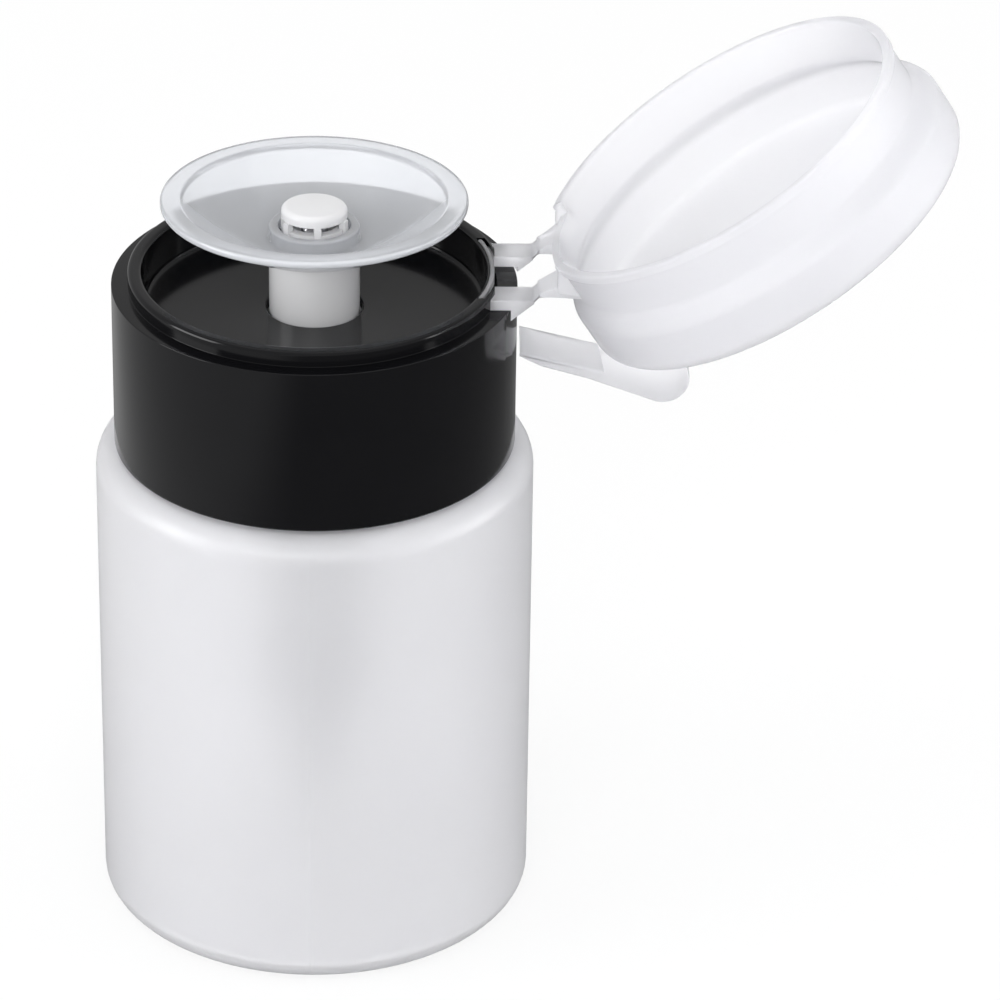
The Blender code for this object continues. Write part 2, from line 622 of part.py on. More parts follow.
def lid_outline(offset):
    """Half section of the closed lid, a given depth inside its outer face, rim to crown."""
    neck, belly = LID_NECK_RADIUS - offset, LID_BELLY_RADIUS - offset
    flare_low = RIM_Z + LID_NECK_HEIGHT
    heights = [flare_low + LID_FLARE_HEIGHT * i / 5 for i in range(6)]
    points = [(neck + (belly - neck) * lid_swell(z), z) for z in heights]
    dome_centre = RIM_Z + LID_HEIGHT - LID_DOME_RADIUS
    corner_r = LID_BELLY_RADIUS - LID_CORNER
    inner_reach = LID_DOME_RADIUS - LID_CORNER
    corner_z = dome_centre + math.sqrt(inner_reach ** 2 - corner_r ** 2)
    crown_angle = math.degrees(math.asin(corner_r / inner_reach))
    points += arc(corner_r, corner_z, LID_CORNER - offset, 0, 90 - crown_angle, 4)
    dome = arc(0, dome_centre, LID_DOME_RADIUS - offset, 90 - crown_angle, 90, 7)
    return points + dome[1:-1] + [(0, dome[-1][1])]


def lever_outline():
    """Side view of the thumb lever on the closed lid; its root lies within the lid's wall.

    The free faces are worked out with the lid open, where the tip rests a gap off the collar.
    """
    tip_x = COLLAR_RADIUS + GAP
    tip_top = HINGE_Z - LEVER_DROP
    tip_bottom = tip_top - LEVER_TIP_THICKNESS
    top = [(tip_x, tip_top), (tip_x + LEVER_TOP_REACH, tip_top - LEVER_TOP_FALL)]
    under = [(tip_x, tip_bottom), (tip_x + LEVER_TOE_REACH, tip_bottom - LEVER_TOE_FALL)]
    under += [(tip_x + LEVER_SHANK_REACH, tip_bottom - LEVER_SHANK_FALL)]
    under += arc(tip_x + LUG_REACH, tip_bottom - LUG_FALL, LUG_RADIUS, LUG_START, 0, 6)
    turn = Matrix.Rotation(LID_OPEN_ANGLE, 2)

    def closed(point):
        spun = turn @ Vector((point[0] - HINGE_X, point[1] - HINGE_Z))
        return (HINGE_X + spun.x, HINGE_Z + spun.y)

    root = [(r - LID_BELLY_SHIFT, z) for r, z in lid_outline(LID_WALL / 2)
            if r > LEVER_ROOT_RADIUS and z > RIM_Z + LEVER_ROOT_HEIGHT]
    return [closed(p) for p in under] + root[::-1] + [closed(top[1]), closed(top[0])]


def make_lid(parts, cutters):
    outer, inner = lid_outline(0), lid_outline(LID_WALL)
    bead = LID_NECK_RADIUS + LID_BEAD
    rim = [(LID_NECK_RADIUS, RIM_Z + 1.5 * LID_BEAD_HEIGHT), (bead, RIM_Z + LID_BEAD_HEIGHT)]
    rim += [(bead, RIM_Z + LID_BEAD), (LID_NECK_RADIUS, RIM_Z), (LID_NECK_RADIUS - LID_WALL, RIM_Z)]
    made = turned("lid", outer[::-1] + rim + inner, SHELL_STEPS, parts, loop=False)
    for vertex in made.data.vertices:
        vertex.co.x -= LID_BELLY_SHIFT * lid_swell(vertex.co.z)

    notch = box("lid_notch", (0, -NOTCH_HALF_WIDTH, RIM_Z - RING_HEIGHT),
                (2 * LID_NECK_RADIUS, NOTCH_HALF_WIDTH, BLOCK_TOP + GAP), cutters)
    combine(made, "DIFFERENCE", notch)
    lever = slab("thumb_lever", lever_outline(), 0, LEVER_WIDTH, cutters)
    combine(made, "UNION", lever)

    arm_bottom = HINGE_Z + ARM_LIFT
    end_x = HINGE_X - HINGE_BLOCK_INSET
    wall_x = math.sqrt((LID_NECK_RADIUS - LID_WALL / 2) ** 2 - (HINGE_BLOCK_SPACING / 2) ** 2)
    arm_top = arm_bottom + ARM_THICKNESS
    arm = [(wall_x, arm_bottom), (end_x, arm_bottom), (end_x, arm_top), (wall_x, arm_top + ARM_RISE)]
    for side in (-1, 1):
        name = "lid_arm_far" if side > 0 else "lid_arm_near"
        limb = slab(name, arm, side * HINGE_BLOCK_SPACING / 2, HINGE_BLOCK_WIDTH, cutters)
        combine(made, "UNION", limb)
    made.data.transform(Matrix.Translation((-HINGE_X, 0, -HINGE_Z)))
    return made


def empty(name, place, parent, collection):
    made = bpy.data.objects.new(name, None)
    made.empty_display_size = COLLAR_HEIGHT / 4
    made.location = place
    collection.objects.link(made)
    bpy.context.view_layer.update()
    if parent:
        made.parent = parent
        made.matrix_parent_inverse = parent.matrix_world.inverted()
    return made


def main():
    clear_scene()
    parts = new_collection("pump_bottle")
    cutters = new_collection("cutters")

    frosted = plastic("frosted polyethylene", (0.80, 0.80, 0.82), 0.45, transmission=0.5)
    black = plastic("black polypropylene", (0.012, 0.012, 0.013), 0.28)
    clear = plastic("clear styrene", (0.90, 0.91, 0.93), 0.06, transmission=0.95)
    natural = plastic("natural polypropylene", (0.86, 0.86, 0.88), 0.25, transmission=0.7)
    white = plastic("white polyethylene", (0.82, 0.82, 0.82), 0.40)
    foam = plastic("foamed liner", (0.75, 0.75, 0.73), 0.80)
    steel = plastic("stainless steel", (0.60, 0.60, 0.61), 0.25, metallic=1.0)

    pump_axis = empty("pump_axis", (0, 0, NECK_TOP), None, parts)
    collar_axis = empty("collar_axis", (0, 0, COLLAR_BOTTOM), pump_axis, parts)
    plunger_axis = empty("plunger_axis", (0, 0, DISH_TOP), pump_axis, parts)
    lid_hinge = empty("lid_hinge", (HINGE_X, 0, HINGE_Z), collar_axis, parts)

    finish(make_bottle(parts, cutters), frosted)
    finish(make_pump_cylinder(parts), white, pump_axis)
    finish(make_gasket(parts), foam, pump_axis)
    finish(make_stem_guide(parts), white, pump_axis)
    finish(make_valve_cage(parts), white, pump_axis)
    finish(make_dip_tube(parts), natural, pump_axis)
    finish(make_spring(parts), steel, pump_axis)
    finish(ball("inlet_ball", BALL_RADIUS, BALL_Z, parts), steel, pump_axis)
    finish(make_collar(parts, cutters), black, collar_axis)
    finish(make_hinge_base(parts, cutters), natural, collar_axis)
    finish(make_saucer(parts), clear, plunger_axis)
    finish(make_stem(parts), white, plunger_axis)
    finish(make_piston(parts), white, plunger_axis)
    finish(make_nozzle_cap(parts, cutters), clear, plunger_axis)
    finish(ball("outlet_ball", OUTLET_BALL_RADIUS, OUTLET_BALL_Z, parts), steel, plunger_axis)

    lid = finish(make_lid(parts, cutters), natural)
    lid.parent = lid_hinge
    lid.rotation_euler.y = LID_OPEN_ANGLE


main()
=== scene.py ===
"""Looks of a press-down pump bottle for nail polish remover.

Every size is in millimetres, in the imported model's frame: +Z up, the origin under the bottle's base,
the lid's hinge towards +X. Meshes are worked out in millimetres and scaled to metres at the end.
"""
import math

import bmesh
import bpy
import numpy as np
from mathutils import Matrix, Vector


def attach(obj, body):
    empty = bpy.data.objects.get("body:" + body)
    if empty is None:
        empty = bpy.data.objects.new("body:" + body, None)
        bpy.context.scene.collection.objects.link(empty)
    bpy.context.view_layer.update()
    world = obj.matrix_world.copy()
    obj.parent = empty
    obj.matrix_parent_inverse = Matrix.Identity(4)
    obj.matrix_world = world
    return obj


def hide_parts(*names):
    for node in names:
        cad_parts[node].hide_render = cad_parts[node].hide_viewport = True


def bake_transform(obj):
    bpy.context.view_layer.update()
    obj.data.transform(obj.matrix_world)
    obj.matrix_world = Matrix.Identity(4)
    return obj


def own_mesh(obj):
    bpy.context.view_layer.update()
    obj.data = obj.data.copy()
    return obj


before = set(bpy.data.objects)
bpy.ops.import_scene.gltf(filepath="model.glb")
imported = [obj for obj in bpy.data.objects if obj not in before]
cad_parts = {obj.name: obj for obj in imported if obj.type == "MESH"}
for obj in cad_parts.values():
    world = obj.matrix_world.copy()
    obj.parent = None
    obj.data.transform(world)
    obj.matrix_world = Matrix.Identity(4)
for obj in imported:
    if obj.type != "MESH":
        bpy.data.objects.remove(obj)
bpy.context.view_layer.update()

MM = 0.001
TURN = 2 * np.pi

# Levels and radii that several pieces share
BODY_R, NECK_R, NECK_TOP = 22.5, 14.9, 63.4
THREAD_PITCH = 4.233
COLLAR_BOTTOM, COLLAR_TOP = 52.5, 70.15
COLLAR_R, RING_R, RING_BORE, RING_TOP = 20.55, 18.9, 17.4, 71.75
SLEEVE_R = 16.5
DISH_TOP, DISH_UNDERSIDE = 67.4, 66.3
SAUCER_TOP, SAUCER_R, SAUCER_INNER, SAUCER_WALL = 79.3, 15.5, 13.5, 0.8
BOWL_FLOOR, HUB_TOP, HUB_BOTTOM = 74.7, 76.35, 60.5
HUB_R, HUB_BORE = 4.6, 3.65
CAP_TOP, CAP_UNDERSIDE, CAP_R = 78.45, 77.95, 3.35
SLOT_LOW, SLOT_HIGH, RIB_TURN = 76.5, 77.35, 6.8 - 90
HINGE = Vector((22.3, 0, 72.1))
OPEN = math.radians(147)
RIM = 70.3
BLOCK_TOP, BLOCK_END, BLOCK_Y, BLOCK_WIDTH = 71.35, 22.15, 4.875, 3.2
INSERT_TOP, INSERT_HALF, NOTCH_HALF = 71.7, 6.475, 6.775
INSERT_IN, INSERT_OUT = 17.75, 18.2
LID_NECK_R, LID_BELLY_R, LID_WALL, LID_SHIFT = 20.0, 21.4, 0.8, 0.4
FLARE_LOW, FLARE_HIGH, LID_CROWN = RIM + 4.6, RIM + 7.4, RIM + 15.6
LID_CORNER, DOME_R = 1.8, 62.5
SPRING_FOOT, SPRING_HEAD, SPRING_TURNS = 28.8, 44.0, 7
# The plunger stands a little askew, within the play of its guide
LEAN, LEAN_FROM = math.radians(-1.6), 65.0

# Light: the white room's level for most rays, for gloss, and as it is seen; the floor's own light as
# it is seen, through clear plastic, and from left to right in gloss; the share of it that is its own
ROOM, ROOM_IN_GLOSS, ROOM_SEEN = 1.00, 0.48, 0.98
FLOOR_SEEN, FLOOR_THROUGH, FLOOR_SHARE = 1.00, 1.34, 0.8
FLOOR_IN_GLOSS = (0.55, 0.18)


# Surfaces

def rounded(corners, closed=True, steps=6):
    """A polyline of (across, up, radius) corners, each corner replaced by its tangent arc."""
    corners = np.array(corners, float)
    count, path = len(corners), []
    for i, (x, z, radius) in enumerate(corners):
        corner = np.array((x, z))
        if radius == 0 or (not closed and i in (0, count - 1)):
            path.append(corner[None])
            continue
        back, ahead = corners[i - 1, :2] - corner, corners[(i + 1) % count, :2] - corner
        far_back, far_ahead = np.linalg.norm(back), np.linalg.norm(ahead)
        back, ahead = back / far_back, ahead / far_ahead
        half = np.arccos(np.clip(back @ ahead, -1, 1)) / 2
        cut = min(radius / np.tan(half), 0.49 * far_back, 0.49 * far_ahead)
        reach = cut * np.tan(half)
        centre = corner + (back + ahead) / np.linalg.norm(back + ahead) * reach / np.sin(half)
        first, last = corner + back * cut - centre, corner + ahead * cut - centre
        sweep = np.arccos(np.clip(first @ last / reach ** 2, -1, 1))
        share = np.linspace(0, 1, steps)[:, None]
        arc = (np.sin((1 - share) * sweep) * first + np.sin(share * sweep) * last) / np.sin(sweep)
        path.append(centre + arc)
    return np.vstack(path)


def surface(name, points, round_rows=False, round_columns=False, ends=False):
    """A mesh of quads over a grid of points (rows, columns, 3), its doubles merged, facing outwards."""
    rows, columns = points.shape[:2]
    index = np.arange(rows * columns).reshape(rows, columns)
    down = np.vstack((index, index[:1])) if round_rows else index
    grid = np.hstack((down, down[:, :1])) if round_columns else down
    quads = np.stack((grid[:-1, :-1], grid[:-1, 1:], grid[1:, 1:], grid[1:, :-1]), axis=-1)
    faces = quads.reshape(-1, 4).tolist()
    if ends:
        faces += [index[0].tolist(), index[-1].tolist()]
    mesh = bpy.data.meshes.new(name)
    mesh.from_pydata((points.reshape(-1, 3) * MM).tolist(), [], faces)
    piece = bpy.data.objects.new(name, mesh)
    bpy.context.scene.collection.objects.link(piece)
    shape = bmesh.new()
    shape.from_mesh(mesh)
    bmesh.ops.remove_doubles(shape, verts=shape.verts, dist=1e-7)
    bmesh.ops.recalc_face_normals(shape, faces=shape.faces)
    shape.to_mesh(mesh)
    shape.free()
    return smooth(piece)


def smooth(piece, angle=32):
    """Smooth shading, with edges of more than angle degrees kept sharp."""
    piece.data.shade_smooth()
    piece.data.set_sharp_from_angle(angle=math.radians(angle))
    return piece


def lathe(name, profile, steps=144, closed=True, warp=None, extra=()):
    """A profile (r, z) turned about Z: the point (r cos a, r sin a, z) for each angle a, which
    are even steps and any extra ones."""
    angle = np.union1d(np.linspace(0, TURN, steps, endpoint=False), np.mod(extra, TURN))
    r, z = profile[:, :1], profile[:, 1:]
    points = np.stack((r * np.cos(angle), r * np.sin(angle), z + 0 * angle), axis=-1)
    if warp:
        points = warp(points)
    return surface(name, points, round_rows=closed, round_columns=True)


def bar(name, outline, y, width, edge=0.2, free=1.0):
    """An outline (x, z) drawn out along Y. Near each end it is set in along its own normals
    by edge (1 - cos t) while y goes on by edge sin t, which rounds the end's rim where free is 1."""
    ahead, back = np.roll(outline, -1, axis=0), np.roll(outline, 1, axis=0)
    along = ahead - back
    normal = np.stack((along[:, 1], -along[:, 0]), axis=-1) / np.linalg.norm(along, axis=1)[:, None]
    area = np.sum(outline[:, 0] * ahead[:, 1] - ahead[:, 0] * outline[:, 1])
    normal *= np.sign(area) * np.broadcast_to(free, len(outline))[:, None]
    t = np.linspace(np.pi / 2, 0, 5)
    inset = np.concatenate((edge * (1 - np.cos(t)), edge * (1 - np.cos(t[::-1]))))
    short = edge * (1 - np.sin(t))
    place = np.concatenate((short - width / 2, width / 2 - short[::-1]))
    flat = outline[None] - normal[None] * inset[:, None, None]
    points = np.stack((flat[..., 0], y + place[:, None] + 0 * flat[..., 0], flat[..., 1]), axis=-1)
    return surface(name, points, round_columns=True, ends=True)


def coil(name, radius, turns, height, section, per_turn=40, taper=None):
    """A section (out, up) carried along a helix: at share t the point is at the angle t times
    the turns, at radius + out and height(t) + up, the section scaled by taper(t)."""
    t = np.linspace(0, 1, int(turns * per_turn) + 1)[:, None]
    size = taper(t) if taper else 1 + 0 * t
    angle = TURN * turns * t
    r = radius + section[:, 0] * size
    up = height(t) + section[:, 1] * size
    points = np.stack((r * np.cos(angle), r * np.sin(angle), up), axis=-1)
    return surface(name, points, round_columns=True, ends=True)


def combine(piece, operation, *others):
    """The piece joined with, cut by or kept within the others, which are then removed."""
    for other in others:
        step = piece.modifiers.new(other.name, "BOOLEAN")
        step.operation, step.solver, step.object = operation, "EXACT", other
        graph = bpy.context.evaluated_depsgraph_get()
        graph.update()
        mesh = bpy.data.meshes.new_from_object(piece.evaluated_get(graph))
        piece.modifiers.clear()
        piece.data = mesh
        bpy.data.objects.remove(other)
    return smooth(piece)


def gather(piece, *others):
    """Several closed shapes that lie in or on one another, as one mesh."""
    shape = bmesh.new()
    for one in (piece, *others):
        shape.from_mesh(one.data)
    shape.to_mesh(piece.data)
    shape.free()
    for one in others:
        bpy.data.objects.remove(one)
    return smooth(piece)


def thread(name, radius, low, high, out):
    """A screw ridge on a wall, 1.2 mm high, outwards (1) or inwards (-1). It fades in and out over
    an eighth of its length."""
    section = np.array(((-0.4, -0.75), (1.2, -0.35), (1.2, 0.35), (-0.4, 0.75))) * (out, 1)
    return coil(name, radius, (high - low) / THREAD_PITCH, lambda t: low + (high - low) * t, section,
                per_turn=64, taper=lambda t: 0.25 + 0.75 * np.clip(np.minimum(t, 1 - t) * 8, 0, 1))


def box(name, low, high):
    """The box between two corners: x and z drawn as an outline, y as its width."""
    (x0, y0, z0), (x1, y1, z1) = low, high
    outline = np.array(((x0, z0), (x1, z0), (x1, z1), (x0, z1)), float)
    return bar(name, outline, (y0 + y1) / 2, y1 - y0, edge=0)


def lean(points):
    """Points above the guide's mouth, turned about a line along X through it by the plunger's lean."""
    x, y, z = np.moveaxis(points, -1, 0)
    above = z > LEAN_FROM
    up = z - LEAN_FROM
    return np.stack((x, np.where(above, y * np.cos(LEAN) - up * np.sin(LEAN), y),
                     np.where(above, LEAN_FROM + y * np.sin(LEAN) + up * np.cos(LEAN), z)), axis=-1)


# Finishes

def linear(code, alpha=1.0):
    """An sRGB hex colour as linear red, green, blue and alpha."""
    values = [int(code[i:i + 2], 16) / 255 for i in (0, 2, 4)]
    return tuple(v / 12.92 if v <= 0.04045 else ((v + 0.055) / 1.055) ** 2.4 for v in values) + (alpha,)


def add(tree, kind, sockets=None, **settings):
    """A node with its settings; each socket gets a value, or a link where it is given an output."""
    made = tree.nodes.new(kind)
    for name, value in settings.items():
        setattr(made, name, value)
    for name, value in (sockets or {}).items():
        if isinstance(value, bpy.types.NodeSocket):
            tree.links.new(value, made.inputs[name])
        else:
            made.inputs[name].default_value = value
    return made


def plastic(name, light, dark, roughness, spread, mottle, grain, depth, **sockets):
    """A moulded plastic. Its colour drifts between two shades over mottle millimetres, its
    roughness by spread, and grain millimetres of fine texture stand depth millimetres high."""
    material = bpy.data.materials.new(name)
    material.use_nodes = True
    tree = material.node_tree
    shader = tree.nodes["Principled BSDF"]
    place = add(tree, "ShaderNodeTexCoord").outputs["Object"]
    drift = add(tree, "ShaderNodeTexNoise", {"Vector": place, "Scale": 1 / (mottle * MM), "Detail": 3.0,
                                             "Roughness": 0.55})
    shade = add(tree, "ShaderNodeMix", {"Factor": drift.outputs["Fac"], 6: linear(dark),
                                        7: linear(light)}, data_type="RGBA")
    rough = add(tree, "ShaderNodeMapRange", {"Value": drift.outputs["Fac"], "To Min": roughness - spread,
                                             "To Max": roughness + spread})
    fine = add(tree, "ShaderNodeTexNoise", {"Vector": place, "Scale": 1 / (grain * MM), "Detail": 2.0})
    bump = add(tree, "ShaderNodeBump", {"Height": fine.outputs["Fac"], "Distance": depth * MM,
                                        "Strength": 1.0})
    tree.links.new(shade.outputs[2], shader.inputs["Base Color"])
    tree.links.new(rough.outputs["Result"], shader.inputs["Roughness"])
    tree.links.new(bump.outputs["Normal"], shader.inputs["Normal"])
    for socket, value in sockets.items():
        shader.inputs[socket.replace("_", " ")].default_value = value
    return material


# Frosted polyethylene, blow moulded against a blasted mould: a soft even haze with a faint satin grain
frosted = plastic("frosted polyethylene", "F5F5F7", "F0F0F3", 0.36, 0.04, 14, 0.35, 0.006,
                  IOR=1.51, Transmission_Weight=0.66)
# Black polypropylene from a polished mould: a deep black with broad, slightly clouded reflections
black = plastic("black polypropylene", "0A0A0C", "070709", 0.13, 0.02, 6, 0.8, 0.001, IOR=1.49,
                Specular_IOR_Level=0.33)
# Clear styrene, injection moulded: glassy, with a trace of cool tint
clear = plastic("clear styrene", "ECEEF1", "E7E9EE", 0.08, 0.02, 8, 1.5, 0.001,
                IOR=1.57, Transmission_Weight=0.66)
# Milky styrene of the nozzle's cap: light passes, but shapes behind it hardly show. It also goes on the
# clear saucer's hub tube as painted light: its pale haze there stands in for the lit white stem inside
pale_cap_and_hub_light = plastic("pale cap styrene and painted hub light", "EEEEEF", "E8E8EA", 0.20, 0.03, 4, 0.8, 0.002,
                IOR=1.57, Transmission_Weight=0.30)
# Natural polypropylene: light passes through its satin haze almost whole, so that shaded walls stay pale
natural = plastic("natural polypropylene", "F6F6F8", "F2F2F5", 0.60, 0.03, 10, 0.6, 0.003,
                  IOR=1.49, Transmission_Weight=0.80)
# White polyethylene of the pump's inner mouldings: matt and slightly waxy
white = plastic("white polyethylene", "EFEFEF", "E9E9EA", 0.42, 0.04, 5, 0.5, 0.004, IOR=1.51)
# Polypropylene of the pump's housing and barrel, in a mid grey, so that the barrel shows through the
# bottle as a darker streak
grey = plastic("grey polypropylene", "94959A", "8A8B90", 0.40, 0.04, 5, 0.5, 0.004, IOR=1.49)
# Extruded polyethylene tube: drawn smooth, half clear
tube = plastic("natural polyethylene tube", "EDEDEE", "E6E6E8", 0.25, 0.03, 4, 0.8, 0.002,
               IOR=1.51, Transmission_Weight=0.5)
# Foamed liner: matt, with cells about 0.3 mm across
foam = plastic("foamed polyethylene", "DDDDD9", "CFCFCA", 0.85, 0.05, 2, 0.3, 0.03, IOR=1.45)
# Cold drawn stainless steel: bright, with draw lines too fine to see but as a soft sheen
steel = plastic("stainless steel", "C9C9CC", "B9B9BD", 0.24, 0.04, 1.5, 0.4, 0.003, Metallic=1.0)


def show(piece, material, body, slot, *nodes):
    """Give a piece its finish and its body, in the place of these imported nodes."""
    piece.data.materials.clear()
    piece.data.materials.append(material)
    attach(piece, body)
    if nodes:
        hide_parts(*nodes)
    return piece


# Bottle

def mould_seam(points):
    """Where the mould's halves met, at +Y and -Y, the wall stands 0.04 mm proud on a bell curve."""
    x, y, z = np.moveaxis(points, -1, 0)
    r = np.hypot(x, y)
    rise = 0.04 * np.exp(-(x / 0.14) ** 2) * (r > BODY_R - 0.2)
    return np.stack((x, y + np.sign(y) * rise, z), axis=-1)


def make_bottle():
    """Body, shoulder and neck in one profile, with a shallow push-up under the base, and the
    screw ridge on the neck. Extra steps of the turn carry the seam's curve."""
    profile = rounded([
        (0, 1.2, 0), (21.6, 1.2, 1.3), (21.6, 51.3, 2.0), (13.5, 51.3, 0.8), (13.5, NECK_TOP, 0.3),
        (NECK_R, NECK_TOP, 0.3), (NECK_R, 52.2, 0.5), (BODY_R, 52.2, 2.8), (BODY_R, 0, 1.9),
        (17.2, 0, 1.2), (15.8, 0.45, 1.2), (0, 0.45, 0)], closed=False, steps=9)
    across = np.linspace(-0.4, 0.4, 9) / BODY_R
    body = lathe("bottle_shell", profile, closed=False, warp=mould_seam,
                 extra=np.concatenate((across + np.pi / 2, across - np.pi / 2)))
    return gather(body, thread("neck_thread", NECK_R, 55.97, 61.3, 1))


show(make_bottle(), frosted, "bottle", "frosted_bottle", "bottle")


# Collar and hinge insert

def make_collar():
    """Skirt, ring, sunken dish and sleeve in one profile, notched for the hinge insert."""
    profile = rounded([
        (COLLAR_R, COLLAR_TOP, 0.08), (COLLAR_R, COLLAR_BOTTOM, 0.25), (19.35, COLLAR_BOTTOM, 0.2),
        (19.35, DISH_UNDERSIDE, 0.3), (17.8, DISH_UNDERSIDE, 0.3), (17.8, COLLAR_BOTTOM, 0.2),
        (SLEEVE_R, COLLAR_BOTTOM, 0.2), (SLEEVE_R, DISH_UNDERSIDE, 0.3), (4.9, DISH_UNDERSIDE, 0.15),
        (4.9, DISH_TOP, 0.25), (RING_BORE, DISH_TOP, 0.7), (RING_BORE, RING_TOP, 0.5),
        (RING_R, RING_TOP, 0.45), (RING_R, COLLAR_TOP, 0.05)], steps=8)
    shell = lathe("collar_shell", profile, steps=180)
    room = box("notch_width", (0, -NOTCH_HALF, 60), (30, NOTCH_HALF, 80))
    behind = lathe("notch_wall", np.array(((17.7, 67.6), (18.5, 67.6), (18.5, 74), (17.7, 74))))
    behind = combine(behind, "INTERSECT", room)
    seat = box("notch_seat", (INSERT_OUT, -NOTCH_HALF, 69.95), (22, NOTCH_HALF, 74))
    shell = combine(shell, "DIFFERENCE", behind, seat)
    return gather(shell, thread("sleeve_thread", SLEEVE_R, 53.85, 59.18, -1))


show(make_collar(), black, "collar", "black_collar", "collar")


def make_insert():
    """A curved wall behind the collar's ring with two blocks that reach out over its edge."""
    wall = lathe("hinge_insert", rounded((
        (INSERT_IN, 67.9, 0.1), (INSERT_OUT, 67.9, 0.1), (INSERT_OUT, INSERT_TOP, 0.12),
        (INSERT_IN, INSERT_TOP, 0.12)), steps=4), steps=180)
    room = box("insert_width", (0, -INSERT_HALF, 60), (30, INSERT_HALF, 80))
    wall = combine(wall, "INTERSECT", room)
    block = rounded(((17.6, BLOCK_TOP, 0), (17.6, 69.0, 0), (19.82, 69.0, 0), (BLOCK_END, 70.95, 0.15),
                     (BLOCK_END, BLOCK_TOP, 0.15)), steps=5)
    for side, end in ((-1, "near"), (1, "far")):
        limb = bar("hinge_block_" + end, block, side * BLOCK_Y, BLOCK_WIDTH, 0.15)
        room = lathe("collar_room", np.array(((0, 70.25), (20.85, 70.25), (20.85, 60), (0, 60))),
                     steps=180, closed=False)
        wall = combine(wall, "UNION", combine(limb, "DIFFERENCE", room))
    return wall


show(make_insert(), natural, "collar", "natural_hinge", "hinge_base")


# Lid

def lid_swell(z):
    """Share of the flare from neck to belly that is reached at a height on the closed lid."""
    share = np.clip((z - FLARE_LOW) / (FLARE_HIGH - FLARE_LOW), 0, 1)
    return (1 - np.cos(np.pi * share)) / 2


def lid_line(offset):
    """Half section of the closed lid, flare to crown, a depth inside its outer face: the flare is
    half a cosine wave, then come the belly, an arc for the corner and an arc for the dome."""
    flare_z = np.linspace(FLARE_LOW, FLARE_HIGH, 18)
    swell = (LID_BELLY_R - LID_NECK_R) * lid_swell(flare_z)
    flare = np.stack((LID_NECK_R - offset + swell, flare_z), axis=-1)
    corner_r, reach = LID_BELLY_R - LID_CORNER, DOME_R - LID_CORNER
    dome_z = LID_CROWN - DOME_R
    crown = math.asin(corner_r / reach)
    turn, inner = np.linspace(0, math.pi / 2 - crown, 10), LID_CORNER - offset
    corner = np.stack((corner_r + inner * np.cos(turn),
                       dome_z + reach * math.cos(crown) + inner * np.sin(turn)), axis=-1)
    tilt, inner = np.linspace(crown, 0, 16)[1:], DOME_R - offset
    dome = np.stack((inner * np.sin(tilt), dome_z + inner * np.cos(tilt)), axis=-1)
    return np.vstack((flare, corner, dome))


def opened(points):
    """Where points (x, z) of the open lid lie on the closed one."""
    dx, dz = points[:, 0] - HINGE.x, points[:, 1] - HINGE.z
    return np.stack((HINGE.x + dx * math.cos(OPEN) - dz * math.sin(OPEN),
                     HINGE.z + dx * math.sin(OPEN) + dz * math.cos(OPEN)), axis=-1)


def flare_arm(arm, side, wall_x):
    """An arm of the lid widened on its outer side by 1.9 s^2 mm, where s goes from 0 at the hinge
    to 1 at the wall, and moved inwards by s so that its root keeps to the round wall."""
    x, y, z = np.array([v.co[:] for v in arm.data.vertices]).T / MM
    s = np.clip((BLOCK_END - x) / (BLOCK_END - wall_x), 0, 1)
    outer = np.clip((side * y - BLOCK_Y) / BLOCK_WIDTH + 0.5, 0, 1)
    y = y + side * 1.9 * s ** 2 * outer
    x = x - s * (wall_x - np.sqrt((LID_NECK_R - 0.4) ** 2 - y ** 2))
    arm.data.vertices.foreach_set("co", (np.stack((x, y, z), axis=-1) * MM).ravel())
    return arm


